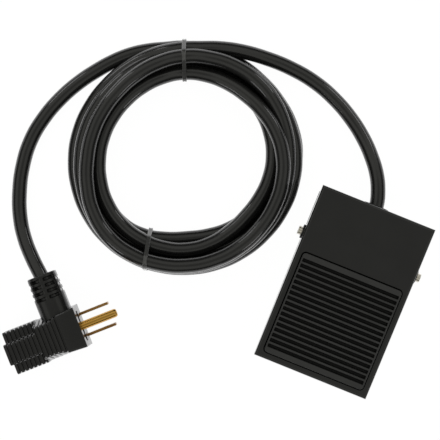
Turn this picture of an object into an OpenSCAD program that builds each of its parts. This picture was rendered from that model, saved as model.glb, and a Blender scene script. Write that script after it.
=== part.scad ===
// Foot switch: a hinged steel pedal with a rubber tread on a plated pan, a snap-action switch
// inside, and a mains cord wound in a coil that ends in a plug with a socket in its back.
// The origin is under the middle of the pedal, +Z is up, -Y is the toe end and +Y the cord end.

/* [Pedal] */
// Width of the pedal, left to right
pedal_w = 67; // [60:0.5:80]
// Length of the pedal, toe end to cord end
pedal_l = 102; // [98:0.5:120]
// Height of the pedal's top at the cord end
rear_h = 30; // [29.5:0.1:34]
// Height of the pedal's top at the toe end
toe_h = 24; // [23.5:0.1:26]
// Height of the skirt folded down round the pedal
skirt_h = 6.5; // [6:0.1:8]
// Thickness of the pedal's sheet steel
sheet_t = 1.2; // [1:0.05:1.4]
// Outside radius of the pedal's folds
fold_r = 1.3; // [1.25:0.05:2]

/* [Hinge] */
// Distance of the hinge from the pedal's rear edge
hinge_back = 28.2; // [26:0.2:31]
// Depth of the hinge under the pedal's top
hinge_drop = 8; // [7.8:0.1:9]
// How far the pedal tips when pressed, in degrees
press_deg = 2.6; // [2:0.1:2.8]
// Diameter of the pivot screws' shanks
pivot_d = 4; // [3.5:0.1:4.2]
// Radial clearance of the pedal's ears on the shanks
pivot_gap = 0.06; // [0.03:0.01:0.1]
// Radius of the ears that hang from the skirt
ear_r = 4.8; // [4.4:0.1:5.5]
// Diameter of the black washer under each screw head
washer_d = 8; // [7:0.1:9]
// Thickness of that washer
washer_t = 0.85; // [0.6:0.05:1.2]
// Diameter of the screw heads
head_d = 4.9; // [4.7:0.1:6]
// Height of the screw heads
head_h = 2.2; // [1.8:0.1:2.6]
// Width across the flats of the pivot nuts
pivot_nut_w = 7; // [6.5:0.1:8]
// Thickness of the pivot nuts
pivot_nut_t = 3.2; // [2.4:0.1:4]

/* [Tread pad] */
// Width of the rubber pad
pad_w = 59; // [50:0.5:59]
// Length of the rubber pad
pad_l = 59.5; // [57:0.5:61]
// Distance of the pad from the pedal's toe edge
pad_front = 4.1; // [3.8:0.1:6]
// Corner radius of the pad
pad_r = 2; // [1:0.1:3]
// Depth of the recess that holds the pad
recess_d = 1; // [0.8:0.1:1.2]
// Gap between the pad and the wall of its recess
recess_gap = 0.7; // [0.3:0.1:0.8]
// Height of the pad above the steel
pad_proud = 1.5; // [1:0.1:2]
// Thickness of rubber left under the grooves
pad_web = 0.5; // [0.4:0.1:0.8]
// Number of tread ridges
ridge_count = 16; // [12:1:16]
// Width of one ridge
ridge_w = 1.2; // [0.8:0.1:1.6]
// Distance from one ridge to the next
ridge_pitch = 3.2; // [2.8:0.1:3.3]
// Width of the border that joins the ridges' ends
pad_border = 1; // [0.6:0.1:2]

/* [Base] */
// Thickness of the base pan's steel
base_t = 1.2; // [1:0.05:1.4]
// Outside radius of the pan's bottom folds
base_r = 1.5; // [1.45:0.05:2]
// Gap between the pan's side walls and the skirt
side_gap = 0.5; // [0.4:0.05:0.8]
// Gap between the pan's end walls and the skirt
end_gap = 1; // [0.9:0.05:1.3]
// Gap over the pan's rim when the pedal is down
rim_gap = 0.5; // [0.4:0.05:0.7]
// Thickness of the non-skid rubber under the base
rubber_t = 1.5; // [1:0.1:2]
// How far that rubber stands out past the pan's walls
rubber_over = 0.6; // [0:0.1:0.7]
// Diameter of the two mounting holes in the pan
mount_d = 4.5; // [3.5:0.1:5.5]
// Distance between the mounting holes
mount_span = 32; // [24:1:40]
// Distance of the mounting holes from the pan's toe wall
mount_front = 7; // [6:0.5:8]
// Diameter of the rubber stop that ends the pedal's travel
stop_d = 12; // [8:0.5:14]
// Distance of the stop from the pan's toe wall
stop_front = 17; // [15:0.5:19]
// Gap between the raised pedal's rubber strip and the pan's rim
rest_gap = 0.2; // [0.1:0.05:0.3]

/* [Return springs] */
// Distance between the two springs' centres
spring_span = 36; // [32:1:42]
// Distance of the springs in front of the hinge
spring_front = 41; // [38:1:43]
// Outside diameter of a spring
spring_d = 9.6; // [8.6:0.1:10.5]
// Diameter of the spring wire
wire_d = 1; // [0.8:0.1:1.3]
// Turns of each spring
spring_turns = 6; // [4:1:7]
// Depth of the cups that the springs stand in
cup_h = 4; // [3:0.5:6]

/* [Snap switch] */
// Length of the switch's case
case_l = 27.8; // [26:0.2:29]
// Width of the switch's case with its cover
case_w = 10.3; // [9.5:0.1:11.5]
// Height of the switch's case
case_h = 15.9; // [15:0.1:16.4]
// Thickness of the case's cover
cover_t = 2.2; // [1.5:0.1:3]
// Distance from the case's rear end forward to the lever pin
pin_inset = 1.7; // [1.5:0.1:2]
// Length of the lever from its pin to its tip
lever_l = 22.5; // [21.5:0.1:23]
// Distance from the lever pin to the striker
striker_reach = 20.5; // [19.5:0.1:21]
// Depth of the striker's nose below the pedal's recess
striker_h = 1.57; // [1.4:0.01:1.8]
// Distance from the lever pin to the plunger
plunger_reach = 14; // [12:0.5:16]
// Width of the lever
lever_w = 4.5; // [3.5:0.1:5]
// Thickness of the lever's spring steel
lever_t = 0.5; // [0.4:0.05:0.6]
// Diameter of the plunger
plunger_d = 3.4; // [2.6:0.1:4]
// Spacing of the two case screws along the case
screw_dy = 22.2; // [20:0.1:22.4]
// Spacing of the two case screws up the case
screw_dz = 10.3; // [9:0.1:10.5]
// Diameter of the case screws
screw_d = 3; // [2.5:0.1:3]
// Thickness of the bracket that carries the switch
bracket_t = 1.5; // [1:0.1:2]
// Width of a terminal blade
blade_w = 4.8; // [4:0.1:6.3]
// Length of a terminal blade outside the case
blade_l = 7; // [6:0.1:7.5]

/* [Cord] */
// Diameter of the cord
cord_d = 8.5; // [7.8:0.1:8.8]
// Height of the cord's outlet
outlet_h = 11; // [10.5:0.1:12]
// Diameter of the outlet hole in the pan's rear wall
outlet_d = 11.5; // [11.2:0.1:12.5]
// Diameter of the strain relief's outer collar
collar_d = 14.5; // [13.5:0.1:15.5]
// Thickness of that collar
collar_t = 3; // [2:0.1:4]
// Radius of the coil at the middle of its turns
coil_r = 55.3; // [54:0.1:57]
// Sideways step between the coil's three columns of turns
column_step = 6.7; // [6.2:0.1:7]
// Width of the twist ties
tie_w = 2.8; // [2:0.1:4]
// Thickness of the twist ties
tie_t = 1.4; // [1:0.1:1.8]

/* [Plug] */
// Length of the plug's body behind its pin face
plug_l = 43.8; // [42:0.2:46]
// Width of the plug's body at the pin face
plug_w = 23.5; // [22.5:0.1:24.5]
// Height of the plug's body
plug_h = 26; // [25:0.2:28]
// Length of the stepped part at the back
back_l = 19; // [17:0.2:20]
// Width of the back's lower part
back_w = 25; // [24.4:0.1:26]
// Height of the back's lower part
back_h = 15.5; // [14:0.1:16.5]
// Width of the back's upper part
neck_w = 12.3; // [11:0.1:13]
// Width of the waist in front of the step
waist_w = 18.5; // [17:0.1:20]
// Distance from the pin face to the start of the waist
flare_l = 9.4; // [8:0.1:10]
// Number of grip grooves
grip_count = 13; // [8:1:13]
// Distance from one grip groove to the next
grip_pitch = 2.5; // [2.2:0.05:2.5]
// Depth of the grip grooves
grip_d = 0.7; // [0.4:0.05:0.9]
// Width of the stem that the cord enters
stem_w = 17.6; // [16:0.1:18]
// Height of the stem
stem_h = 18; // [16:0.2:18]
// Distance of the stem's centre behind the pin face
stem_back = 11.2; // [10.5:0.1:12]
// Distance of the stem's end from the plug's middle
stem_reach = 35; // [32:0.5:36]
// Length of the stem's ribbed end
relief_l = 14; // [12:0.2:15]
// Slots along the ribbed end
relief_slots = 4; // [3:1:4]
// Distance between the two flat blades
blade_span = 12.7; // [12.7]
// Distance of the round pin above the blades
pin_rise = 11.9; // [11.9]
// Diameter of the round pin
pin_d = 4.75; // [4.75]
// Length of the round pin outside the body
pin_l = 21.4; // [20:0.1:22]
// Length of the flat blades outside the body
prong_l = 17.5; // [16:0.1:18]
// Height of the blades' centre above the table
prong_z = 6.8; // [6.4:0.1:7.2]
// Diameter of the round socket hole in the back
socket_d = 5.2; // [5:0.1:5.4]

/* [Hidden] */
$fn = 48;
over = 1;                       // how far a cutting shape runs past what it cuts
touch = 0.05;                   // running gap between flat faces of moving pieces
seat = 0.3;                     // gap between the striker and the lever, and round loose pieces

// Pedal plane: its top rises from the toe to the rear
slope = asin((rear_h - toe_h) / pedal_l);
mid_h = (rear_h + toe_h) / 2;
pedal_y = -(skirt_h + fold_r) * sin(slope) / 2;
tray_z = -recess_d - sheet_t;   // underside of the recess, below the pedal's top
pad_y = -pedal_l / 2 + pad_front + pad_l / 2;
function top_z(y) = mid_h + (y - pedal_y) * tan(slope);
function under_z(y) = top_z(y) - sheet_t / cos(slope);
function under_tray_z(y) = top_z(y) + tray_z / cos(slope);
function drop_at(y) = (hinge_y - y) * tan(press_deg);

// Hinge
hinge_y = pedal_l / 2 - hinge_back;
hinge_z = top_z(hinge_y) - hinge_drop;
skin_x = pedal_w / 2;           // outer face of the skirt and ears

// Base
base_w = pedal_w - 2 * (sheet_t + side_gap);
base_l = pedal_l - 2 * (sheet_t + end_gap);
wall_x = base_w / 2;
wall_y = base_l / 2;
floor_z = rubber_t + base_t;
rim_drop = recess_d + rim_gap;  // from the pedal's underside down to the pan's rim
rim_toe = under_z(-wall_y) - drop_at(-wall_y) - rim_drop;
rim_hinge = under_z(hinge_y) - rim_drop;
rim_rear = under_z(wall_y) - rim_drop;
stop_y = -wall_y + stop_front;
mount_y = -wall_y + mount_front;
buffer_w = 2 * pedal_w / 3;
buffer_l = 5;

// Return springs
spring_y = hinge_y - spring_front;
cup_d = spring_d + 1.4;
cup_wall = 0.8;
peg_d = spring_d - 2 * wire_d - 0.8;
peg_h = 5;
spring_low = floor_z + cup_wall;
spring_top = under_tray_z(spring_y - spring_d / 2);

// Snap switch: its lever lies under the striker, and its case hangs below the lever
case_y = hinge_y + 0.4;         // rear end of the case
lever_y = case_y - pin_inset;
plunger_y = lever_y - plunger_reach;
striker_y = lever_y - striker_reach;
striker_r = 1.5;
nose_z = under_tray_z(striker_y) - striker_h + striker_r;
lever_z = nose_z - striker_r - seat - lever_t / 2;
lever_rise = 1.6;               // from the case's top to the lever's underside
lever_pin_d = 1.2;
hub_r = 1.2;
ear_t = 1.4;
case_top = lever_z - lever_t / 2 - lever_rise;
case_z = case_top - case_h;
screw_hole_z = case_z + 2.8;
screw_hole_y = case_y - 2.8;
bracket_x = -case_w / 2;
bracket_foot = 11;
case_nut_w = 1.8 * screw_d / cos(30);
foot_l = case_l - (case_y - screw_hole_y) - case_nut_w / 2 - seat;  // it stops short of the low nut
terminal_t = 0.8;
blade_root = 1;
terminal_z = [for (k = [0:2]) case_z + 3 + 5 * k];
receptacle_h = 2.4;

// Cord
jacket_in = 7;                  // how far the jacket runs in past the rear wall
jacket_end = wall_y - jacket_in;
core_d = 2.6;
lug_inset = 12;
lug_d = 8;
lug_t = 1;
lug_hole_d = 3.6;
lug_tail_l = 8;
lug_tail_w = 3.6;
ground_head_d = 6.4;
ground_head_h = 2;
ground_slot_w = 0.8;
row_step = sqrt(cord_d * cord_d - column_step * column_step);
coil_half = column_step + cord_d / 2;
coil_side_h = 2 * row_step + cord_d;
coil_top = 3 * row_step + cord_d;
coil_centre = [-110.5, 37];
tie_angles = [112.7, 269.6];
tie_skews = [0, 15];
tie_slack = 0.5;

// Plug
plug_at = [-129, -73];
plug_turn = 43.5;
half_low = back_w / 2 - 0.3;
slope_low = 9;                  // height where the body's sides start to lean in
top_edge = 1;
grip_w = 1;
grip_back = 2.3;
stem_z = 13;
stem_r = 4;
relief_gap = 1.5;
relief_first = 2.8;
relief_pitch = 3.5;
relief_cut = 2;
cord_grip = 8;                  // how far the cord runs into the stem
spine_w = 2.6;
pin_root = 6;                   // how far the pins run into the body
pin_tip = 1.5;
prong_t = 1.5;
prong_w = 6.35;
prong_hole = 5.7;               // distance of the hole from a blade's tip
pin_z = prong_z + pin_rise;
slot_t = 2;
slot_w = 7.6;
slot_l = 15;
contact_t = 0.4;
mouth_l = 8;

// The cord's route: out of the base, round to the coil, and from the coil to the plug
SWITCH_ROUTE = [[0, jacket_end, outlet_h], [0, wall_y + collar_t, outlet_h], [-2, 61, 11],
    [-6, 68.5, 10], [-12, 76.5, 8], [-20, 85, 5.5], [-31, 93.5, 4.5], [-44, 100, 4.5],
    [-57, 105, 4.5], [-73, 107.5, 4.5], [-90, 107, 5.5], [-105, 105, 9.5], [-116, 101.5, 12.5],
    [-126, 97, 13.5]];
PLUG_ROUTE = [[-145, 90, 4.5], [-153, 86.5, 4.5], [-163, 79.5, 4.5], [-169, 73.5, 4.5],
    [-176, 65, 4.5], [-184, 54, 4.5], [-190, 42, 4.5], [-195, 27.5, 4.5], [-197.5, 13, 4.5],
    [-196, -2, 4.5], [-191.5, -18, 4.5], [-186, -30.5, 5], [-179, -40, 7], [-171, -48, 10.5],
    plug_point([-stem_back, stem_reach + 4, stem_z]),
    plug_point([-stem_back, stem_reach - cord_grip, stem_z])];
function plug_point(p) = [plug_at[0] + p[0] * cos(plug_turn) - p[1] * sin(plug_turn),
    plug_at[1] + p[0] * sin(plug_turn) + p[1] * cos(plug_turn), p[2]];

// ---- Shapes that several pieces share ----

// A tube swept along a list of points, with one flat ring of sides at each
function unit(v) = v / norm(v);
function heading(p, i) = unit(p[min(i + 1, len(p) - 1)] - p[max(i - 1, 0)]);
function ring(p, i, r, n) = let (t = heading(p, i), s = unit(cross(t, [0, 0, 1])), u = cross(s, t))
    [for (k = [0:n - 1]) p[i] + r * (cos(360 * k / n) * s + sin(360 * k / n) * u)];
// Two triangles for each side between one ring and the next
function skin(last, n) = [for (i = [0:last - 1], k = [0:n - 1])
    let (a = i * n + k, b = i * n + (k + 1) % n) each [[a, b, b + n], [a, b + n, a + n]]];
module tube(p, r, n) {
    last = len(p) - 1;
    polyhedron(
        points = [for (i = [0:last]) each ring(p, i, r, n)],
        faces = concat([[for (k = [n - 1:-1:0]) k], [for (k = [0:n - 1]) last * n + k]], skin(last, n)));
}

// A w by h section whose two upper corners are folds of radius r
module fold_section(w, h, r) {
    translate([-w / 2, 0]) square([w, h - r]);
    translate([-w / 2 + r, 0]) square([w - 2 * r, h]);
    for (side = [-1, 1]) translate([side * (w / 2 - r), h - r]) circle(r);
}

// A block folded down on all four sides, standing on its open edge
module folded_block(w, l, h, r) {
    intersection() {
        rotate([90, 0, 0]) linear_extrude(l, center = true) fold_section(w, h, r);
        rotate([90, 0, 90]) linear_extrude(w, center = true) fold_section(l, h, r);
    }
}

module rounded_plate(w, l, t, r) {
    linear_extrude(t) {
        square([w - 2 * r, l], center = true);
        square([w, l - 2 * r], center = true);
        for (x = [-1, 1], y = [-1, 1]) translate([x * (w / 2 - r), y * (l / 2 - r)]) circle(r);
    }
}

// A profile in Y and Z carried from x0 to x1
module across(x0, x1) translate([x0, 0, 0]) rotate([90, 0, 90]) linear_extrude(x1 - x0) children();

// A round bar along X between x0 and x1
module bar(y, z, d, x0, x1) translate([x0, y, z]) rotate([0, 90, 0]) cylinder(h = x1 - x0, d = d);

module both_sides() for (side = [0, 1]) mirror([side, 0, 0]) children();

// The pedal's own frame: z = 0 is its top face
module at_pedal() translate([0, pedal_y, mid_h]) rotate([slope, 0, 0]) children();

// What is left of a shape below the underside of the pedal's recess
module under_tray() {
    difference() {
        children();
        at_pedal() translate([-pedal_w, -pedal_l, tray_z]) cube([2 * pedal_w, 2 * pedal_l, 2 * rear_h]);
    }
}

// ---- Pedal ----

module ear() {
    bar(hinge_y, hinge_z, 2 * ear_r, skin_x - sheet_t, skin_x);
    translate([skin_x - sheet_t, hinge_y - ear_r, hinge_z])
        cube([sheet_t, 2 * ear_r, hinge_drop - 2 * fold_r - ear_r * sin(slope)]);
}

module pedal() color([0.13, 0.13, 0.13]) {
    difference() {
        union() {
            at_pedal() difference() {
                translate([0, 0, -skirt_h]) folded_block(pedal_w, pedal_l, skirt_h, fold_r);
                translate([-pedal_w / 2 + sheet_t, -pedal_l / 2 + sheet_t, -skirt_h - over])
                    cube([pedal_w - 2 * sheet_t, pedal_l - 2 * sheet_t, skirt_h + over - sheet_t]);
            }
            at_pedal() translate([0, pad_y, tray_z]) rounded_plate(
                pad_w + 2 * (recess_gap + sheet_t), pad_l + 2 * (recess_gap + sheet_t),
                recess_d + sheet_t / 2, pad_r + recess_gap + sheet_t);
            both_sides() ear();
        }
        at_pedal() translate([0, pad_y, -recess_d]) rounded_plate(
            pad_w + 2 * recess_gap, pad_l + 2 * recess_gap, recess_d + over, pad_r + recess_gap);
        bar(hinge_y, hinge_z, pivot_d + 2 * pivot_gap, -skin_x - over, skin_x + over);
    }
}

module tread_pad() color([0.2, 0.2, 0.2]) {
    groove_w = ridge_pitch - ridge_w;
    field = ridge_count * ridge_pitch + groove_w;
    at_pedal() translate([0, pad_y, -recess_d]) difference() {
        rounded_plate(pad_w, pad_l, recess_d + pad_proud, pad_r);
        for (k = [0:ridge_count])
            translate([-pad_w / 2 + pad_border, -field / 2 + k * ridge_pitch, pad_web])
                cube([pad_w - 2 * pad_border, groove_w, recess_d + pad_proud]);
    }
}

// Rubber strip under the pedal's rear edge: the raised pedal rests with it on the pan's rear wall
module rest_buffer() color([0.08, 0.08, 0.08]) {
    t = rim_drop * cos(slope) - rest_gap;
    at_pedal() translate([-buffer_w / 2, wall_y - buffer_l, -sheet_t - t]) cube([buffer_w, buffer_l, t]);
}

// Pressed bridge under the pedal that pushes the switch's lever
module striker() color([0.7, 0.7, 0.68]) {
    under_tray() {
        bar(striker_y, nose_z, 2 * striker_r, -lever_w / 2 - 1, lever_w / 2 + 1);
        translate([-lever_w / 2 - 1, striker_y - striker_r, nose_z])
            cube([lever_w + 2, 2 * striker_r, rear_h]);
        translate([-lever_w / 2 - 1, striker_y - 2.5 * striker_r, under_tray_z(striker_y) - 1])
            cube([lever_w + 2, 5 * striker_r, rear_h]);
    }
}

// Pegs welded under the recess, one inside the top of each spring
module spring_pegs() color([0.7, 0.7, 0.68]) {
    under_tray() both_sides() translate([spring_span / 2, spring_y, under_tray_z(spring_y) - peg_h])
        cylinder(h = rear_h, d = peg_d);
}

// ---- Base ----

module base_pan() color([0.8, 0.8, 0.78]) {
    difference() {
        translate([0, 0, rubber_t + rear_h]) mirror([0, 0, 1])
            folded_block(base_w, base_l, rear_h, base_r);
        translate([-wall_x + base_t, -wall_y + base_t, floor_z])
            cube([base_w - 2 * base_t, base_l - 2 * base_t, 2 * rear_h]);
        across(-base_w, base_w) polygon([[-pedal_l, rim_toe], [-wall_y, rim_toe],
            [hinge_y, rim_hinge], [wall_y, rim_rear], [pedal_l, rim_rear], [pedal_l, 2 * rear_h],
            [-pedal_l, 2 * rear_h]]);
        bar(hinge_y, hinge_z, pivot_d, -base_w, base_w);
        translate([0, wall_y - base_t - over, outlet_h]) rotate([-90, 0, 0])
            cylinder(h = base_t + 2 * over, d = outlet_d);
        both_sides() translate([mount_span / 2, mount_y, 0]) cylinder(h = floor_z + over, d = mount_d);
    }
}

module nonskid_sheet() color([0.1, 0.1, 0.1]) {
    difference() {
        rounded_plate(base_w + 2 * rubber_over, base_l + 2 * rubber_over, rubber_t, 2);
        both_sides() translate([mount_span / 2, mount_y, -over])
            cylinder(h = rubber_t + 2 * over, d = mount_d + 4);
    }
}

// Rubber post that the pressed pedal lands on
module down_stop() color([0.1, 0.1, 0.1]) {
    stop_top = under_tray_z(stop_y - stop_d / 2) - drop_at(stop_y - stop_d / 2);
    translate([0, stop_y, floor_z]) {
        cylinder(h = stop_top - floor_z - rim_gap, d = stop_d);
        cylinder(h = 2, d = stop_d + 4);
    }
}

module spring_cups() color([0.75, 0.75, 0.73]) {
    both_sides() translate([spring_span / 2, spring_y, floor_z]) difference() {
        cylinder(h = cup_h, d = cup_d + 2 * cup_wall);
        translate([0, 0, cup_wall]) cylinder(h = cup_h, d = cup_d);
    }
}

module return_springs() color([0.6, 0.6, 0.62]) {
    r = (spring_d - wire_d) / 2;
    steps = 12;
    rise = spring_top - spring_low - wire_d;
    helix = [for (i = [0:spring_turns * steps])
        [r * cos(360 * i / steps), r * sin(360 * i / steps),
            spring_low + wire_d / 2 + rise * i / (spring_turns * steps)]];
    both_sides() translate([spring_span / 2, spring_y, 0]) tube(helix, wire_d / 2, 6);
}

// ---- Hinge hardware, drawn on the right and mirrored ----

washer_x = skin_x + touch;      // inner face of the washer
module pivot_screws() color([0.78, 0.76, 0.7]) {
    head_x = washer_x + washer_t;
    both_sides() difference() {
        union() {
            bar(hinge_y, hinge_z, pivot_d, wall_x - base_t - pivot_nut_t - 1, head_x);
            bar(hinge_y, hinge_z, head_d, head_x, head_x + head_h);
        }
        translate([head_x + head_h / 2, hinge_y - head_d, hinge_z - 0.5]) cube([head_h, 2 * head_d, 1]);
    }
}

module pivot_washers() color([0.05, 0.05, 0.05]) {
    both_sides() difference() {
        bar(hinge_y, hinge_z, washer_d, washer_x, washer_x + washer_t);
        bar(hinge_y, hinge_z, pivot_d, 0, pedal_w);
    }
}

// Thin rings that keep the ears off the pan
module pivot_spacers() color([0.9, 0.9, 0.85]) {
    both_sides() difference() {
        bar(hinge_y, hinge_z, 2 * ear_r - 1, wall_x, wall_x + side_gap - touch);
        bar(hinge_y, hinge_z, pivot_d, 0, pedal_w);
    }
}

module pivot_nuts() color([0.78, 0.78, 0.76]) {
    both_sides() difference() {
        translate([wall_x - base_t - pivot_nut_t, hinge_y, hinge_z]) rotate([0, 90, 0])
            cylinder(h = pivot_nut_t, d = pivot_nut_w / cos(30), $fn = 6);
        bar(hinge_y, hinge_z, pivot_d, 0, pedal_w);
    }
}

// ---- Snap switch ----

// The two case screws' places, as children
module case_screws() for (k = [0, 1])
    translate([0, screw_hole_y - k * screw_dy, screw_hole_z + k * screw_dz]) children();

module switch_bracket() color([0.72, 0.72, 0.7]) {
    difference() {
        union() {
            translate([bracket_x - bracket_t, case_y - case_l, floor_z])
                cube([bracket_t, case_l, case_top - 1 - floor_z]);
            translate([bracket_x - bracket_foot, case_y - case_l, floor_z])
                cube([bracket_foot, foot_l, bracket_t]);
        }
        case_screws() bar(0, 0, screw_d + 0.1, bracket_x - bracket_t - over, 0);
    }
}

module switch_case() color([0.12, 0.12, 0.13]) {
    difference() {
        union() {
            translate([-case_w / 2, case_y - case_l, case_z]) cube([case_w - cover_t, case_l, case_h]);
            for (side = [-1, 1]) difference() {
                translate([side * (lever_w / 2 + seat + ear_t / 2) - ear_t / 2, lever_y - hub_r, case_top])
                    cube([ear_t, 2 * hub_r, lever_rise + lever_t + hub_r]);
            }
        }
        case_screws() bar(0, 0, screw_d + 0.1, -case_w, case_w);
        bar(lever_y, lever_z, lever_pin_d, -case_w, case_w);
        translate([0, plunger_y, case_top - 6]) cylinder(h = 6 + over, d = plunger_d + 0.2);
        terminal_blades();
    }
}

module switch_cover() color([0.2, 0.2, 0.22]) {
    difference() {
        translate([case_w / 2 - cover_t, case_y - case_l, case_z]) cube([cover_t, case_l, case_h]);
        case_screws() bar(0, 0, screw_d + 0.1, 0, case_w);
        terminal_blades();
    }
}

module switch_screws() color([0.8, 0.8, 0.78]) {
    nut_t = screw_d * 0.8;
    case_screws() difference() {
        union() {
            bar(0, 0, screw_d, bracket_x - bracket_t - nut_t - 1, case_w / 2);
            bar(0, 0, 1.8 * screw_d, case_w / 2, case_w / 2 + 2);
        }
        translate([case_w / 2 + 1, -screw_d, -0.35]) cube([2, 2 * screw_d, 0.7]);
    }
}

module switch_nuts() color([0.78, 0.78, 0.76]) {
    nut_t = screw_d * 0.8;
    case_screws() difference() {
        translate([bracket_x - bracket_t - nut_t, 0, 0]) rotate([0, 90, 0])
            cylinder(h = nut_t, d = case_nut_w, $fn = 6);
        bar(0, 0, screw_d, -case_w, 0);
    }
}

module lever_pin() color([0.8, 0.8, 0.8]) {
    reach = lever_w / 2 + seat + ear_t;
    bar(lever_y, lever_z, lever_pin_d, -reach, reach);
}

module switch_lever() color([0.75, 0.75, 0.77]) {
    difference() {
        union() {
            bar(lever_y, lever_z, 2 * hub_r, -lever_w / 2, lever_w / 2);
            translate([-lever_w / 2, lever_y - lever_l, lever_z - lever_t / 2])
                cube([lever_w, lever_l, lever_t]);
        }
        bar(lever_y, lever_z, lever_pin_d + 0.16, -case_w, case_w);
    }
}

module switch_plunger() color([0.7, 0.15, 0.12]) {
    tip = 0.6;
    top = lever_z - lever_t / 2 - 0.1;
    translate([0, plunger_y, case_top - 5]) cylinder(h = top - tip - case_top + 5, d = plunger_d);
    translate([0, plunger_y, top - tip]) cylinder(h = tip, d1 = plunger_d, d2 = plunger_d / 2);
}

// Blades of the common, normally closed and normally open contacts
module terminal_blades() for (z = terminal_z)
    translate([-blade_w / 2, case_y - blade_root, z - terminal_t / 2])
        cube([blade_w, blade_l + blade_root, terminal_t]);

module switch_terminals() color([0.82, 0.66, 0.3]) terminal_blades();

// Insulated push-on receptacles on the common and the normally open blades
module wire_receptacles() color([0.75, 0.2, 0.15]) {
    difference() {
        for (z = [terminal_z[0], terminal_z[2]])
            translate([-blade_w / 2 - 0.8, case_y + 1, z - receptacle_h / 2])
                cube([blade_w + 1.6, blade_l + 1, receptacle_h]);
        terminal_blades();
    }
}

// ---- Conductors from the stripped end of the cord ----

receptacle_y = case_y + blade_l + 2;
lug_at = [wall_x - lug_inset, wall_y - lug_inset];
module conductor(start, bends, end) {
    tube(concat([start, start - [0, 3, 0]], bends, [end + [0, 2, 0], end]), core_d / 2, 8);
}

module wire_line() color([0.1, 0.1, 0.1]) conductor([-2.2, jacket_end, outlet_h + 1.3],
    [[-1.5, (jacket_end + receptacle_y) / 2, (outlet_h + 1.3 + terminal_z[0]) / 2]],
    [0, receptacle_y, terminal_z[0]]);

module wire_load() color([0.9, 0.9, 0.88]) conductor([2.2, jacket_end, outlet_h + 1.3],
    [[1.5, (jacket_end + receptacle_y) / 2, (outlet_h + 1.3 + terminal_z[2]) / 2]],
    [0, receptacle_y, terminal_z[2]]);

module wire_ground() color([0.1, 0.5, 0.2]) {
    lug_top = floor_z + lug_t + core_d / 2;
    low = outlet_h - core_d;
    tail = lug_at - [lug_tail_l, 0];
    tube([[0, jacket_end, low], [0, jacket_end - 2, low], [5, jacket_end - 5, (low + lug_top) / 2],
        [tail[0] - 1, tail[1] - 1, lug_top], [tail[0] + lug_tail_w, tail[1], lug_top]], core_d / 2, 8);
}

module ground_lug() color([0.8, 0.68, 0.4]) {
    translate([lug_at[0], lug_at[1], floor_z]) difference() {
        union() {
            cylinder(h = lug_t, d = lug_d);
            translate([-lug_tail_l, -lug_tail_w / 2, 0]) cube([lug_tail_l, lug_tail_w, lug_t]);
        }
        translate([0, 0, -over]) cylinder(h = lug_t + 2 * over, d = lug_hole_d);
    }
}

module ground_screw() color([0.25, 0.55, 0.3]) {
    translate([lug_at[0], lug_at[1], floor_z]) {
        cylinder(h = lug_t, d = lug_hole_d - 0.1);
        translate([0, 0, lug_t]) difference() {
            cylinder(h = ground_head_h, d = ground_head_d, $fn = 6);
            translate([-lug_d / 2, -ground_slot_w / 2, ground_head_h / 2])
                cube([lug_d, ground_slot_w, ground_head_h]);
        }
    }
}

// ---- Cord ----

// Strain relief: two collars that grip the pan's rear wall, with a waist through its hole
module cord_bushing() color([0.06, 0.06, 0.06]) {
    translate([0, wall_y, outlet_h]) rotate([-90, 0, 0]) difference() {
        union() {
            cylinder(h = collar_t, d = collar_d);
            translate([0, 0, -base_t]) cylinder(h = base_t, d = outlet_d);
            translate([0, 0, -base_t - 4]) cylinder(h = 4, d = collar_d - 1);
        }
        translate([0, 0, -base_t - 4 - over])
            cylinder(h = base_t + collar_t + 4 + 2 * over, d = cord_d + 0.2);
    }
}

module cord_switch_run() color([0.1, 0.1, 0.1]) tube(SWITCH_ROUTE, cord_d / 2, 10);

module cord_plug_run() color([0.1, 0.1, 0.1]) tube(PLUG_ROUTE, cord_d / 2, 10);

// Outline of the wound turns, grown on its sides and top, standing at height low
function coil_outline(grow, low) = [[coil_r - coil_half - grow, low], [coil_r + coil_half + grow, low],
    [coil_r + coil_half + grow, coil_side_h - cord_d / 3], [coil_r + cord_d / 2, coil_top + grow],
    [coil_r - cord_d / 2, coil_top + grow], [coil_r - coil_half - grow, coil_side_h - cord_d / 3]];

module at_coil() translate([coil_centre[0], coil_centre[1], 0]) children();

module at_tie(k) at_coil() rotate([0, 0, tie_angles[k]]) translate([coil_r, 0, 0])
    rotate([0, 0, tie_skews[k]]) translate([-coil_r, 0, 0]) children();

// Room between the turns and a tie, which grows with the slant that the tie lies at
function tie_room(k) = tie_slack + coil_half * (1 / cos(tie_skews[k]) - 1);

// The whole coil of turns as one body, lifted where the ties pass under it
module cord_coil() color([0.1, 0.1, 0.1]) {
    difference() {
        at_coil() rotate_extrude($fn = 96) polygon(coil_outline(0, 0));
        for (k = [0, 1]) at_tie(k) translate([coil_r - coil_half - 3, -tie_w / 2 - seat, -over])
            cube([2 * coil_half + 6, tie_w + 2 * seat, over + tie_t + 2 * seat]);
    }
}

module coil_ties() color([0.07, 0.07, 0.07]) {
    for (k = [0, 1]) at_tie(k) rotate([90, 0, 0]) linear_extrude(tie_w, center = true) difference() {
        polygon(coil_outline(tie_room(k) + tie_t, 0));
        polygon(coil_outline(tie_room(k), tie_t));
    }
}

// ---- Plug, drawn with its pins along +X and its stem along +Y ----

module at_plug() translate([plug_at[0], plug_at[1], 0]) rotate([0, 0, plug_turn]) children();

// Half width of the body's top at a distance behind the pin face: a waist that flares to the face
function flare(d) = waist_w / 2
    + (plug_w - waist_w) / 2 * pow(min(1, max(0, (flare_l * 2 - d) / flare_l)), 2);

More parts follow.
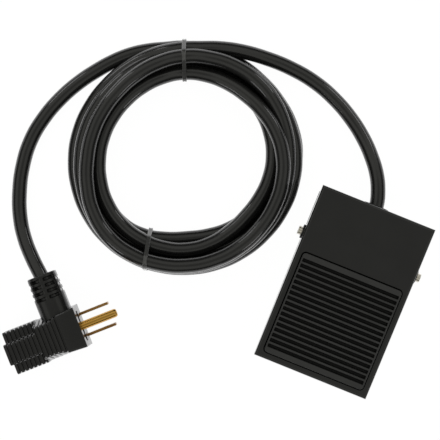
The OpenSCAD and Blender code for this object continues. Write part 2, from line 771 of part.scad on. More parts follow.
// Front of the body: sections that lean in from a wide foot to the flared top, grown inward by g
module plug_front(g) {
    stations = [for (k = [0:5]) flare_l * (1 + k / 5), plug_l - back_l + over];
    cuts = concat([g > 0 ? -over : 0], stations);
    points = [for (d = cuts) each let (w = flare(d) - g, b = half_low - g, h = plug_h - g)
        [for (p = [[b, g > 0 ? -over : 0], [b, slope_low], [w, h - top_edge], [w - top_edge, h],
            [top_edge - w, h], [-w, h - top_edge], [-b, slope_low], [-b, g > 0 ? -over : 0]])
            [-d, p[0], p[1]]]];
    n = 8;
    last = len(cuts) - 1;
    polyhedron(points = points,
        faces = concat([[for (k = [n - 1:-1:0]) k], [for (k = [0:n - 1]) last * n + k]], skin(last, n)));
}

// Back of the body: a wide foot for the blade slots and a narrow neck for the round one
module plug_back(g) {
    low = g > 0 ? -over : 0;
    translate([-plug_l - (g > 0 ? over : 0), 0, 0]) rotate([90, 0, 90])
        linear_extrude(back_l + (g > 0 ? over : 0)) polygon([
            [back_w / 2 - g, low], [back_w / 2 - g, back_h - g], [neck_w / 2 - g, back_h - g],
            [neck_w / 2 - g, plug_h - g], [g - neck_w / 2, plug_h - g], [g - neck_w / 2, back_h - g],
            [g - back_w / 2, back_h - g], [g - back_w / 2, low]]);
}

module plug_form(g) {
    plug_front(g);
    plug_back(g);
}

module grip_grooves() {
    difference() {
        for (k = [0:grip_count - 1])
            translate([-plug_l + grip_back + k * grip_pitch - grip_w / 2, -back_w, slope_low / 6])
                cube([grip_w, 2 * back_w, plug_h]);
        plug_form(grip_d);
    }
}

// Section of the stem at its full size or inset, in X and Z
module stem_section(inset) {
    w = stem_w - 2 * inset;
    h = stem_h - 2 * inset;
    r = stem_r - inset;
    square([w - 2 * r, h], center = true);
    square([w, h - 2 * r], center = true);
    for (x = [-1, 1], z = [-1, 1]) translate([x * (w / 2 - r), z * (h / 2 - r)]) circle(r);
}

module stem(y0, y1, inset = 0) translate([-stem_back, y0, stem_z]) rotate([-90, 0, 0])
    linear_extrude(y1 - y0) stem_section(inset);

module plug_body() color([0.11, 0.11, 0.11]) at_plug() difference() {
    union() {
        difference() {
            plug_form(0);
            grip_grooves();
        }
        stem(waist_w / 2 - 2, stem_reach - relief_l);
    }
    blades_shape();
    ground_shape();
    for (side = [-1, 1])
        translate([-plug_l - over, side * blade_span / 2 - slot_t / 2, prong_z - slot_w / 2])
            cube([slot_l + over, slot_t, slot_w]);
    translate([-plug_l - over, 0, pin_z]) rotate([0, 90, 0]) {
        cylinder(h = mouth_l + 2 * over, d = socket_d);
        translate([0, 0, mouth_l + over]) cylinder(h = slot_l - mouth_l, d = socket_d + 2 * contact_t);
    }
}

// Ribbed end of the stem: slots cut in to a slimmer core, with a spine left above and below
module plug_relief() color([0.11, 0.11, 0.11]) at_plug() {
    start = stem_reach - relief_l;
    slot_y = stem_reach - relief_first - relief_gap / 2;
    difference() {
        stem(start, stem_reach);
        difference() {
            for (k = [0:relief_slots - 1])
                translate([-stem_back - stem_w, slot_y - k * relief_pitch, 0])
                    cube([2 * stem_w, relief_gap, 2 * stem_h]);
            stem(start, stem_reach, relief_cut);
            translate([-stem_back - spine_w / 2, start, 0]) cube([spine_w, relief_l, 2 * stem_h]);
        }
        translate([-stem_back, stem_reach - cord_grip, stem_z]) rotate([-90, 0, 0])
            cylinder(h = cord_grip + over, d = cord_d);
    }
}

module blades_shape() {
    for (side = [-1, 1]) translate([-pin_root, side * blade_span / 2 - prong_t / 2, prong_z - prong_w / 2])
        cube([pin_root + prong_l, prong_t, prong_w]);
}

module ground_shape() {
    translate([0, 0, pin_z]) rotate([0, 90, 0]) {
        translate([0, 0, -pin_root]) cylinder(h = pin_root, d = pin_d - 1);
        cylinder(h = pin_l - pin_tip, d = pin_d);
        translate([0, 0, pin_l - pin_tip]) cylinder(h = pin_tip, d1 = pin_d, d2 = pin_d - 2);
    }
}

module plug_blades() color([0.72, 0.5, 0.22]) at_plug() difference() {
    blades_shape();
    translate([prong_l - prong_hole, 0, prong_z]) rotate([90, 0, 0])
        cylinder(h = 2 * plug_w, d = prong_w / 2, center = true);
}

module plug_ground_pin() color([0.85, 0.63, 0.28]) at_plug() ground_shape();

// Spring leaves inside the socket's slots and a sleeve inside its round hole
module socket_contacts() color([0.8, 0.62, 0.3]) at_plug() {
    for (side = [-1, 1], leaf = [-1, 1])
        translate([-plug_l + mouth_l, side * blade_span / 2 + leaf * (slot_t - contact_t) / 2 - contact_t / 2,
            prong_z - slot_w / 2])
            cube([slot_l - mouth_l, contact_t, slot_w]);
    translate([-plug_l + mouth_l, 0, pin_z]) rotate([0, 90, 0]) difference() {
        cylinder(h = slot_l - mouth_l, d = socket_d + 2 * contact_t);
        translate([0, 0, -over]) cylinder(h = slot_l, d = socket_d);
    }
}

pedal();
tread_pad();
rest_buffer();
striker();
spring_pegs();
base_pan();
nonskid_sheet();
down_stop();
spring_cups();
return_springs();
pivot_screws();
pivot_washers();
pivot_spacers();
pivot_nuts();
switch_bracket();
switch_case();
switch_cover();
switch_screws();
switch_nuts();
lever_pin();
switch_lever();
switch_plunger();
switch_terminals();
wire_receptacles();
wire_line();
wire_load();
wire_ground();
ground_lug();
ground_screw();
cord_bushing();
cord_switch_run();
cord_coil();
cord_plug_run();
coil_ties();
plug_body();
plug_relief();
plug_blades();
plug_ground_pin();
socket_contacts();
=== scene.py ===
import math
import bpy
import numpy as np
from mathutils.geometry import convex_hull_2d, tessellate_polygon
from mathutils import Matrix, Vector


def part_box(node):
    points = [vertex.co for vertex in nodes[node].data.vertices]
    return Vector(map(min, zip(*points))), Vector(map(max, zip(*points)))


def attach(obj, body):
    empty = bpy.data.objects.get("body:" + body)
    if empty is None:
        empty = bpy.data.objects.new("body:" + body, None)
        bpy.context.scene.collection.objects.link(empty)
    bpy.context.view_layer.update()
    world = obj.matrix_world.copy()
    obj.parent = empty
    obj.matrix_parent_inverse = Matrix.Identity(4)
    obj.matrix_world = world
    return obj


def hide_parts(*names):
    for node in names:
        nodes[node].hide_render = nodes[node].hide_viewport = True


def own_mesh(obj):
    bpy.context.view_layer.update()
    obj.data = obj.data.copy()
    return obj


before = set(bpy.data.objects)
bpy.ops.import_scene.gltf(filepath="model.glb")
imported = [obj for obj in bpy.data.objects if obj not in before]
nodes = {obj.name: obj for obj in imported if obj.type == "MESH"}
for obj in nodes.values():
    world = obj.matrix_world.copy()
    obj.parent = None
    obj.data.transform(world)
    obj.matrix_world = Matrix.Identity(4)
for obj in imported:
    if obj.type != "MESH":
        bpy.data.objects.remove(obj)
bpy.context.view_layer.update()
mm = 0.001


# The pedal's sloping plane, which several pieces follow
pedalPlane = {"length": 102 * mm, "rear": 30 * mm, "toe": 24 * mm, "skirt": 6.5 * mm, "fold": 1.3 * mm}
slope = math.asin((pedalPlane["rear"] - pedalPlane["toe"]) / pedalPlane["length"])
pedalMiddle = (-(pedalPlane["skirt"] + pedalPlane["fold"]) * math.sin(slope) / 2,
               (pedalPlane["rear"] + pedalPlane["toe"]) / 2)


# From the pedal's own plane, with its top at zero, to the frame
def pedalToFrame(points):
    y = pedalMiddle[0] + points[..., 1] * math.cos(slope) - points[..., 2] * math.sin(slope)
    z = pedalMiddle[1] + points[..., 1] * math.sin(slope) + points[..., 2] * math.cos(slope)
    return np.stack([points[..., 0], y, z], axis=-1)


# A smooth-shaded piece with creases only where faces meet at more than the sharp angle
def meshObject(name, points, faces, body, finish, sharp=40):
    mesh = bpy.data.meshes.new(name)
    mesh.from_pydata(np.asarray(points).reshape(-1, 3).tolist(), [], faces)
    mesh.polygons.foreach_set("use_smooth", [True] * len(mesh.polygons))
    mesh.set_sharp_from_angle(angle=math.radians(sharp))
    mesh.materials.append(materials[finish])
    obj = bpy.data.objects.new(name, mesh)
    bpy.context.scene.collection.objects.link(obj)
    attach(obj, body)
    return obj


# Tube through rows of points, with a flat face on each end
def cappedFaces(rows, columns):
    faces = gridFaces(rows, columns).tolist()
    return faces + [list(range(columns))[::-1], list(range((rows - 1) * columns, rows * columns))]


# Quads between the rows of a grid whose columns close round, and whose rows do where asked
def gridFaces(rows, columns, closedRows=False):
    i, k = np.meshgrid(np.arange(rows if closedRows else rows - 1), np.arange(columns), indexing="ij")
    a = i * columns + k
    b = i * columns + (k + 1) % columns
    step = (i + 1) % rows * columns
    c = step + (k + 1) % columns
    d = step + k
    return np.stack([a, b, c, d], axis=-1).reshape(-1, 4)


# Goes from 0 to 1 with a soft start and end: three t squared less two t cubed
def smoothStep(t):
    t = np.clip(t, 0, 1)
    return t * t * (3 - 2 * t)


# Rounds the edges that turn by more than the angle
def addBevel(obj, width, segments=2, angle=35):
    bevel = obj.modifiers.new("bevel", "BEVEL")
    bevel.width = width
    bevel.segments = segments
    bevel.limit_method = "ANGLE"
    bevel.angle_limit = math.radians(angle)
    bevel.harden_normals = True


# Joins one socket of a node tree to another
def link(tree, source, target):
    tree.links.new(source, target)


# Noise in object coordinates; scale counts its blobs per metre, stretch squeezes them along an axis
def addNoise(tree, scale, detail, stretch):
    place = tree.nodes.new("ShaderNodeTexCoord")
    mapping = tree.nodes.new("ShaderNodeMapping")
    mapping.inputs["Scale"].default_value = stretch
    noise = tree.nodes.new("ShaderNodeTexNoise")
    noise.inputs["Scale"].default_value = scale
    noise.inputs["Detail"].default_value = detail
    link(tree, place.outputs["Object"], mapping.inputs["Vector"])
    link(tree, mapping.outputs["Vector"], noise.inputs["Vector"])
    return noise.outputs["Fac"]


# A maths node whose inputs are sockets or plain numbers
def calculate(tree, operation, *values):
    node = tree.nodes.new("ShaderNodeMath")
    node.operation = operation
    for socket, value in zip(node.inputs, values):
        if isinstance(value, (int, float)):
            socket.default_value = value
        else:
            link(tree, value, socket)
    return node.outputs["Value"]


# Carries a value that goes from start to end over to the range from low to high
def carry(tree, value, low, high, start=0.0, end=1.0):
    node = tree.nodes.new("ShaderNodeMapRange")
    node.inputs["From Min"].default_value = start
    node.inputs["From Max"].default_value = end
    node.inputs["To Min"].default_value = low
    node.inputs["To Max"].default_value = high
    link(tree, value, node.inputs["Value"])
    return node.outputs["Result"]


# Goes from the first colour to the second as the value goes from 0 to 1; each is a socket or a plain colour
def mixColours(tree, value, first, second):
    node = tree.nodes.new("ShaderNodeMix")
    node.data_type = "RGBA"
    link(tree, value, node.inputs["Factor"])
    for name, colour in (("A", first), ("B", second)):
        if isinstance(colour, tuple):
            node.inputs[name].default_value = (*colour, 1)
        else:
            link(tree, colour, node.inputs[name])
    return node.outputs["Result"]


# A Principled material whose colour drifts between two near shades and whose gloss and grain vary;
# the noise that drives them keeps mostly between 0.3 and 0.7
def makeMaterial(name, dark, light, rough, metal=0.0, drift=60, grain=900, grainDepth=0.00002,
                 stretch=(1, 1, 1), coat=0.0, coatRough=0.15, shine=0.5):
    material = bpy.data.materials.new(name)
    material.use_nodes = True
    tree = material.node_tree
    shader = tree.nodes["Principled BSDF"]
    shader.inputs["Metallic"].default_value = metal
    shader.inputs["Coat Weight"].default_value = coat
    shader.inputs["Coat Roughness"].default_value = coatRough
    shader.inputs["Specular IOR Level"].default_value = shine
    share = carry(tree, addNoise(tree, drift, 4.0, stretch), 0, 1, 0.3, 0.7)
    link(tree, mixColours(tree, share, dark, light), shader.inputs["Base Color"])
    fine = addNoise(tree, grain, 3.0, stretch)
    link(tree, carry(tree, fine, *rough, 0.3, 0.7), shader.inputs["Roughness"])
    bump = tree.nodes.new("ShaderNodeBump")
    bump.inputs["Distance"].default_value = grainDepth
    link(tree, fine, bump.inputs["Height"])
    link(tree, bump.outputs["Normal"], shader.inputs["Normal"])
    return material


# A grey, or one a little warmer in the red and less in the blue
def grey(value, warm=0.0):
    return (value * (1 + warm), value, value * (1 - warm))


# Each finish: its values, and the CAD nodes that show it
finishes = {
    "enamel": dict(dark=grey(0.013), light=grey(0.016), rough=(0.30, 0.40), grain=1100, grainDepth=0.000003,
                   coat=1.0, coatRough=0.07, shine=0.1,
                   nodes=["pedal"]),
    "treadRubber": dict(dark=grey(0.030), light=grey(0.038), rough=(0.5, 0.62), grain=2500,
                        grainDepth=0.00002, nodes=["tread_pad"]),
    "softRubber": dict(dark=grey(0.014), light=grey(0.022), rough=(0.6, 0.75), grain=2000,
                       grainDepth=0.00003, nodes=["rest_buffer", "down_stop", "cord_bushing"]),
    "greyRubber": dict(dark=grey(0.10), light=grey(0.14), rough=(0.6, 0.75), grain=2000,
                       nodes=["nonskid_sheet"]),
    "platedSteel": dict(dark=grey(0.72, 0.01), light=grey(0.84, 0.01), rough=(0.14, 0.26), metal=1.0,
                        grain=500, grainDepth=0.00001, stretch=(1, 1, 6), nodes=["base_pan"]),
    "zincPlate": dict(dark=(0.55, 0.54, 0.48), light=(0.70, 0.70, 0.68), rough=(0.28, 0.42), metal=1.0,
                      grain=900, nodes=["striker", "spring_pegs", "spring_cups", "pivot_nuts",
                                        "switch_bracket", "switch_nuts"]),
    "springSteel": dict(dark=grey(0.45), light=grey(0.6), rough=(0.2, 0.35), metal=1.0,
                        nodes=["return_springs", "lever_pin", "switch_lever"]),
    "nickel": dict(dark=(0.62, 0.58, 0.50), light=(0.80, 0.77, 0.70), rough=(0.18, 0.3), metal=1.0,
                   nodes=["pivot_screws", "switch_screws"]),
    "fibre": dict(dark=grey(0.012), light=grey(0.02), rough=(0.5, 0.7), nodes=["pivot_washers"]),
    "nylon": dict(dark=grey(0.62, 0.03), light=grey(0.72, 0.03), rough=(0.35, 0.5),
                  nodes=["pivot_spacers"]),
    "phenolic": dict(dark=grey(0.016), light=grey(0.024), rough=(0.25, 0.4),
                     nodes=["switch_case", "switch_cover"]),
    "redPlastic": dict(dark=(0.36, 0.02, 0.015), light=(0.46, 0.03, 0.02), rough=(0.3, 0.45),
                       nodes=["switch_plunger", "wire_receptacles"]),
    "brass": dict(dark=(0.62, 0.42, 0.16), light=(0.78, 0.56, 0.24), rough=(0.22, 0.4), metal=1.0,
                  nodes=["switch_terminals", "ground_lug", "socket_contacts"]),
    "blackWire": dict(dark=grey(0.014), light=grey(0.02), rough=(0.4, 0.55), nodes=["wire_line"]),
    "whiteWire": dict(dark=grey(0.6), light=grey(0.7), rough=(0.4, 0.55), nodes=["wire_load"]),
    "greenWire": dict(dark=(0.01, 0.16, 0.05), light=(0.02, 0.22, 0.07), rough=(0.4, 0.55),
                      nodes=["wire_ground"]),
    "greenScrew": dict(dark=(0.08, 0.3, 0.12), light=(0.12, 0.4, 0.16), rough=(0.25, 0.4), metal=1.0,
                       nodes=["ground_screw"]),
    "jacket": dict(dark=grey(0.010), light=grey(0.015), rough=(0.24, 0.32), drift=40, grain=260,
                   grainDepth=0.000004, coat=0.75, coatRough=0.09, shine=0.25, nodes=[]),
    "tieCoat": dict(dark=grey(0.05), light=grey(0.08), rough=(0.2, 0.32), grain=700, coat=0.6, nodes=[]),
    "vinyl": dict(dark=grey(0.009), light=grey(0.013), rough=(0.20, 0.28), grain=900,
                  grainDepth=0.000003, coat=0.5, coatRough=0.12, shine=0.3, nodes=["plug_body"]),
    "reliefVinyl": dict(dark=grey(0.008), light=grey(0.012), rough=(0.28, 0.36), grain=900,
                        grainDepth=0.000003, coat=0.4, coatRough=0.12, shine=0.3, nodes=["plug_relief"]),
    "goldBrass": dict(dark=(0.50, 0.26, 0.05), light=(0.66, 0.38, 0.09), rough=(0.16, 0.22), metal=1.0,
                      grain=500, grainDepth=0.000002, nodes=["plug_ground_pin"]),
    "bladeBrass": dict(dark=(0.34, 0.17, 0.05), light=(0.50, 0.28, 0.09), rough=(0.24, 0.34), metal=1.0,
                       grain=500, grainDepth=0.000002, nodes=["plug_blades"]),
}


# Painted shade at the bottom of the pad's recess: dulls and darkens the enamel
# in all that is deeper than a little under the pedal's sloping top, inside the recess's outline
def addRecessShade(material, recess):
    tree = material.node_tree
    shader = tree.nodes["Principled BSDF"]
    place = tree.nodes.new("ShaderNodeTexCoord")
    split = tree.nodes.new("ShaderNodeSeparateXYZ")
    link(tree, place.outputs["Object"], split.inputs["Vector"])
    x, y, z = split.outputs
    middle = pedalMiddle[1] - pedalMiddle[0] * math.tan(slope)
    top = calculate(tree, "MULTIPLY_ADD", y, math.tan(slope), middle - recess["depth"])
    inside = calculate(tree, "LESS_THAN", z, top)
    for test in (calculate(tree, "LESS_THAN", calculate(tree, "ABSOLUTE", x), recess["halfWidth"]),
                 calculate(tree, "GREATER_THAN", y, recess["from"]),
                 calculate(tree, "LESS_THAN", y, recess["to"])):
        inside = calculate(tree, "MULTIPLY", inside, test)
    coat, shine = shader.inputs["Coat Weight"], shader.inputs["Specular IOR Level"]
    link(tree, carry(tree, inside, coat.default_value, 0), coat)
    link(tree, carry(tree, inside, shine.default_value, 0), shine)
    paint = shader.inputs["Base Color"].links[0].from_socket
    link(tree, mixColours(tree, inside, paint, recess["paintedShade"]), shader.inputs["Base Color"])


# Painted shade down the grooves: darkens the rubber and takes its shine away; the UV's second value is the
# depth's share
def addGrooveShade(material, groove):
    tree = material.node_tree
    shader = tree.nodes["Principled BSDF"]
    place = tree.nodes.new("ShaderNodeTexCoord")
    split = tree.nodes.new("ShaderNodeSeparateXYZ")
    link(tree, place.outputs["UV"], split.inputs["Vector"])
    deep = carry(tree, split.outputs["Y"], 0, 1, *groove["span"])
    link(tree, carry(tree, deep, *groove["shine"]), shader.inputs["Specular IOR Level"])
    rubber = shader.inputs["Base Color"].links[0].from_socket
    link(tree, mixColours(tree, deep, rubber, groove["bottom"]), shader.inputs["Base Color"])


materials = {}
for name, finish in finishes.items():
    values = {key: value for key, value in finish.items() if key != "nodes"}
    materials[name] = makeMaterial(name, **values)
    for node in finish["nodes"]:
        nodes[node].data.materials.clear()
        nodes[node].data.materials.append(materials[name])
# The recess's painted shade: a near-black laid over the enamel at its bottom, with its coat and shine taken
# away
recess = {"depth": 0.35 * mm, "halfWidth": 31.5 * mm, "from": -48.5 * mm, "to": 16 * mm, "paintedShade": grey(0.002)}
grooveShade = {"span": (0.12, 0.8), "shine": (0.5, 0.15), "bottom": grey(0.008)}
addRecessShade(materials["enamel"], recess)
addGrooveShade(materials["treadRubber"], grooveShade)
print("materials done")


# The camera looks straight down
camera = {
    "spot": (-79.2 * mm, 11.3 * mm),
    "height": 0.770,
    "lens": 109.6,
    "turn": 22.0,
}
cameraData = bpy.data.cameras.new("camera")
cameraData.lens = camera["lens"]
cameraData.sensor_width = 36
cameraData.clip_start = 0.01
cameraData.clip_end = 10
cameraObject = bpy.data.objects.new("camera", cameraData)
cameraObject.location = (*camera["spot"], camera["height"])
cameraObject.rotation_euler = (0, 0, math.radians(camera["turn"]))
bpy.context.scene.collection.objects.link(cameraObject)
bpy.context.scene.camera = cameraObject
print("camera done")


# The cord, wound into a coil on its way from the base to the plug
cord = {
    "diameter": 8.5 * mm,
    "length": 2.44,
    "coilCentre": (-110.5 * mm, 37 * mm),
    "pointsPerTurn": 24,
    "tieAngles": (112.7, 269.6),
    "tieThickness": 1.5 * mm,
    "tieSpread": 9,
    "exit": (0, 51.8 * mm, 11 * mm),
}
# From inside the base to the coil, and from the coil to the plug, in millimetres
switchRoute = [(0, 41.8, 11), (0, 51.8, 11), (-2, 61, 11), (-6, 68.5, 10), (-12, 76.5, 8),
               (-20, 85, 5.5), (-31, 93.5, 4.5), (-44, 100, 4.5), (-57, 105, 4.5), (-73, 107.5, 4.5),
               (-90, 107, 5.5), (-105, 105, 9.5), (-116, 101.5, 12.5), (-126, 97, 13.5)]
plugRoute = [(-145, 90, 4.5), (-153, 86.5, 4.5), (-163, 79.5, 4.5), (-169, 73.5, 4.5), (-176, 65, 4.5),
             (-184, 54, 4.5), (-190, 42, 4.5), (-195, 27.5, 4.5), (-197.5, 13, 4.5), (-196, -2, 4.5),
             (-191.5, -18, 4.5), (-186, -30.5, 5), (-179, -40, 7), (-171, -48, 10.5)]
# One row a turn, in the order that they were wound, at eight places round the coil from the top tie on:
# each turn wanders a little in and out of the bundle; in millimetres
turnRadius = [[61.1, 60.9, 63.4, 64.2, 62.8, 62.0, 62.0, 59.9],
              [58.2, 57.0, 59.3, 62.6, 61.9, 59.6, 58.2, 58.5],
              [55.9, 52.7, 54.9, 62.1, 61.1, 57.9, 54.5, 48.5],
              [47.6, 46.7, 49.1, 52.6, 52.3, 47.8, 49.5, 50.5],
              [51.8, 49.0, 50.2, 52.5, 46.0, 48.8, 52.0, 54.0],
              [55.3, 55.2, 56.5, 58.0, 55.0, 56.0, 62.6, 61.0]]
turnHeight = [[13.0, 6.5, 4.3, 4.3, 5.0, 8.5, 10.5, 10.5],
              [11.0, 12.0, 12.0, 12.3, 12.5, 13.5, 14.5, 17.5],
              [19.9, 19.5, 19.8, 19.9, 19.9, 19.9, 19.9, 17.0],
              [13.3, 13.0, 13.0, 12.6, 12.0, 12.0, 11.5, 9.0],
              [4.8, 4.3, 4.3, 4.3, 4.3, 4.3, 4.3, 4.3],
              [4.3, 4.3, 4.3, 4.3, 4.3, 4.3, 4.3, 4.3]]
leaving = (62.6, 4.5)     # radius and height where the last turn goes off to the plug
firstAngle, lastAngle = 113, 116 + 360 * len(turnRadius)     # degrees, counted on through the turns
knotAngles = cord["tieAngles"][0] + 45 * np.arange(8 * len(turnRadius) + 1)


# A curve through evenly spaced values, with the slope at each taken from its neighbours (Hermite)
def throughKnots(angle, values):
    place = np.clip((angle - knotAngles[0]) / 45, 0, len(values) - 1.0001)
    k = place.astype(int)
    t = place - k
    rate = np.gradient(values)
    return ((2 * t ** 3 - 3 * t ** 2 + 1) * values[k] + (t ** 3 - 2 * t ** 2 + t) * rate[k]
            + (3 * t ** 2 - 2 * t ** 3) * values[k + 1] + (t ** 3 - t ** 2) * rate[k + 1])


# Radius and height of the strand at each angle, which counts on from one turn to the next; the table stops it
def strandPlace(angle):
    radius = throughKnots(angle, np.append(turnRadius, leaving[0])) * mm
    height = throughKnots(angle, np.append(turnHeight, leaving[1])) * mm
    return np.stack([radius, np.maximum(height, cord["diameter"] / 2)], axis=-1)


# How far the cord rides up over a tie that passes under it
def tieLift(angle):
    lift = np.zeros(len(angle))
    for tieAngle in cord["tieAngles"]:
        away = (angle - tieAngle + 180) % 360 - 180
        lift += cord["tieThickness"] * np.exp(-(away / cord["tieSpread"]) ** 2)
    return lift


turnAngles = np.arange(firstAngle, lastAngle, 360 / cord["pointsPerTurn"])
places = strandPlace(turnAngles)
radians = np.radians(turnAngles)
coilPoints = np.stack([cord["coilCentre"][0] + places[:, 0] * np.cos(radians),
                       cord["coilCentre"][1] + places[:, 0] * np.sin(radians),
                       places[:, 1] + tieLift(turnAngles)], axis=1)

plug = {
    "at": (-129 * mm, -73 * mm),
    "turn": math.radians(43.5),
    "stemBack": 11.2 * mm,
    "stemReach": 35 * mm,
    "stemHeight": 13 * mm,
    "cordGrip": 12 * mm,
}


# From the plug's own directions, pins along +X and stem along +Y, to the frame
def plugToFrame(points):
    points = np.asarray(points, float)
    c, s = math.cos(plug["turn"]), math.sin(plug["turn"])
    x = plug["at"][0] + points[..., 0] * c - points[..., 1] * s
    y = plug["at"][1] + points[..., 0] * s + points[..., 1] * c
    return np.stack([x, y, points[..., 2]], axis=-1)


stemPoints = plugToFrame([(-plug["stemBack"], plug["stemReach"] - 4 * mm, plug["stemHeight"]),
                          (-plug["stemBack"], plug["stemReach"] - plug["cordGrip"], plug["stemHeight"])])
route = np.concatenate([np.array(switchRoute) * mm, coilPoints, np.array(plugRoute) * mm, stemPoints])
# Where the cord lies free, its stiffness rounds off the corners of its route:
# each point goes half way to the middle of its neighbours, past the straight stretch in the bushing
free = np.concatenate([np.arange(2, len(switchRoute)),
                       np.arange(len(switchRoute) + len(coilPoints), len(route) - len(stemPoints))])
route[free] = route[free] / 2 + (route[free - 1] + route[free + 1]) / 4

curve = bpy.data.curves.new("cord", "CURVE")
curve.dimensions = "3D"
curve.bevel_depth = cord["diameter"] / 2
curve.bevel_resolution = 7
curve.use_fill_caps = True
spline = curve.splines.new("BEZIER")
spline.bezier_points.add(len(route) - 1)
spline.bezier_points.foreach_set("co", route.ravel())
for point in spline.bezier_points:
    point.handle_left_type = point.handle_right_type = "AUTO"
spline.resolution_u = 6
spline.use_smooth = True
curve.materials.append(materials["jacket"])
cordObject = bpy.data.objects.new("cord", curve)
bpy.context.scene.collection.objects.link(cordObject)
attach(cordObject, "base")
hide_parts("cord_switch_run", "cord_coil", "cord_plug_run")
steps = np.linalg.norm(np.diff(route, axis=0), axis=1)
print("cord done,", len(route), "points,", round(float(steps.sum()), 3), "m")


# Two wire ties round the coil
ties = {
    "wire": 1.0 * mm,
    "span": 1.4 * mm,
    "skews": (0, 15),
    "sides": 10,
    "rings": 160,
}


# Outline of a double wire joined by a web: two arcs, in its width and thickness
def tieSection():
    turn = np.linspace(-math.pi / 2, math.pi / 2, ties["sides"])
    arc = np.stack([np.cos(turn), np.sin(turn)], axis=1) * ties["wire"] / 2 + (ties["span"] / 2, 0)
    web = np.array([[ties["span"] / 6, ties["wire"] * 0.3], [-ties["span"] / 6, ties["wire"] * 0.3]])
    return np.concatenate([arc, web, -arc, -web])


# Closed line round the strands, in radius and height, as a belt pulled tight over them
def beltLine(strands, clear):
    circle = np.linspace(0, 2 * math.pi, 48, endpoint=False)
    reach = cord["diameter"] / 2 + clear
    around = np.stack([np.cos(circle), np.sin(circle)], axis=1) * reach
    cloud = (strands[:, None, :] + around[None, :, :]).reshape(-1, 2)
    hull = cloud[convex_hull_2d([tuple(p) for p in cloud])]
    hull = np.concatenate([hull, hull[:1]])
    run = np.concatenate([[0], np.cumsum(np.linalg.norm(np.diff(hull, axis=0), axis=1))])
    even = np.linspace(0, run[-1], ties["rings"], endpoint=False)
    return np.stack([np.interp(even, run, hull[:, 0]), np.interp(even, run, hull[:, 1])], axis=1)


# The tie's outline carried along the belt line: its thickness along the line's outward normal, its width
# across the line, all turned by the tie's skew and set at its angle round the coil
def makeTie(index):
    angle = math.radians(cord["tieAngles"][index])
    laps = cord["tieAngles"][index] + 360.0 * np.arange(len(turnRadius) + 1)
    laps = laps[laps < lastAngle]
    strands = strandPlace(laps) + np.stack([np.zeros(len(laps)), tieLift(laps)], axis=1)
    belt = beltLine(strands, ties["wire"] / 2)
    middle = (belt.max(axis=0) + belt.min(axis=0)) / 2
    ahead = np.roll(belt, -1, axis=0) - np.roll(belt, 1, axis=0)
    ahead /= np.linalg.norm(ahead, axis=1)[:, None]
    outward = np.stack([ahead[:, 1], -ahead[:, 0]], axis=1)
    section = tieSection()
    plane = belt[:, None, :] + outward[:, None, :] * section[None, :, 1, None]
    width = np.broadcast_to(section[None, :, 0], plane.shape[:2])
    skew = math.radians(ties["skews"][index])
    across = (plane[..., 0] - middle[0]) * math.cos(skew) - width * math.sin(skew)
    along = (plane[..., 0] - middle[0]) * math.sin(skew) + width * math.cos(skew)
    c, s = math.cos(angle), math.sin(angle)
    x = cord["coilCentre"][0] + (middle[0] + across) * c - along * s
    y = cord["coilCentre"][1] + (middle[0] + across) * s + along * c
    points = np.stack([x, y, plane[..., 1]], axis=-1).reshape(-1, 3)
    faces = gridFaces(ties["rings"], len(section), True).tolist()
    return meshObject(f"tie{index + 1}", points, faces, "base", "tieCoat")


tieObjects = [makeTie(index) for index in (0, 1)]
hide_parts("coil_ties")
print("ties done")


# The plug's body, its strain relief and its round pin
plugForm = {
    "length": 43.8 * mm, "width": 23.5 * mm, "height": 26 * mm, "waist": 18.5 * mm, "flare": 9.4 * mm,
    "half": 12.2 * mm, "slope": 9 * mm, "back": 19 * mm, "backWidth": 25 * mm, "backHeight": 15.5 * mm,
    "neck": 12.3 * mm, "hem": 1.5 * mm, "hemLip": 0.02 * mm, "soft": 0.5 * mm,
    "footRound": 0.6 * mm, "sideRound": 4 * mm, "topRound": 1.2 * mm, "backRound": 1.1 * mm,
    "neckRound": 0.5 * mm,
    "grooves": 13, "pitch": 2.5 * mm, "grooveWidth": 1.0 * mm, "grooveDepth": 0.7 * mm,
    "lastGroove": 2.3 * mm,
    "bladeSpan": 12.7 * mm, "bladeHeight": 6.8 * mm, "slotWidth": 2 * mm, "slotHeight": 7.6 * mm,
    "pinHeight": 18.7 * mm, "socket": 5.2 * mm, "socketDepth": 15 * mm,
    "plate": (18 * mm, 13.5 * mm, 0.45 * mm), "plateHeight": 10.6 * mm,
}
relief = {
    "width": 17.6 * mm, "height": 18 * mm, "corner": 6.8 * mm,
    "length": 14 * mm, "taper": 0.6 * mm, "edge": 0.8 * mm, "root": 6 * mm,
    "slots": 4, "first": 2.8 * mm, "pitch": 3.5 * mm, "gap": 1.6 * mm,
    "topDepth": 2.8 * mm, "sideDepth": 1.0 * mm, "spine": 2.6 * mm, "window": 6.9 * mm,
    "wall": 0.4 * mm, "step": 0.125 * mm,
}
pin = {
    "diameter": 4.75 * mm, "length": 21.4 * mm, "tip": 1.6 * mm, "tipDiameter": 2.6 * mm, "root": 1 * mm,
    "sides": 64,
}


# One up to half a gap either side of zero, with steep soft walls
def pulse(away, gap):
    return smoothStep((gap / 2 - np.abs(away)) / relief["wall"] + 0.5)


# Polygon with its corners rounded; each corner is across, up, radius, and a radius of zero stays one point
def roundCorners(corners, samples=6):
    points = []
    for k, (x, z, radius) in enumerate(corners):
        here = np.array([x, z])
        if radius == 0:
            points.append(here)
            continue
        before = np.array(corners[k - 1][:2]) - here
        after = np.array(corners[(k + 1) % len(corners)][:2]) - here
        before /= np.linalg.norm(before)
        after /= np.linalg.norm(after)
        half = math.acos(np.clip(before @ after, -1, 1)) / 2
        middle = here + (before + after) / np.linalg.norm(before + after) * radius / math.sin(half)
        start = here + before * radius / math.tan(half) - middle
        end = here + after * radius / math.tan(half) - middle
        t = np.linspace(0, 1, samples)[:, None]
        spoke = start * (1 - t) + end * t
        points.extend(middle + spoke / np.linalg.norm(spoke, axis=1)[:, None] * radius)
    return np.array(points)


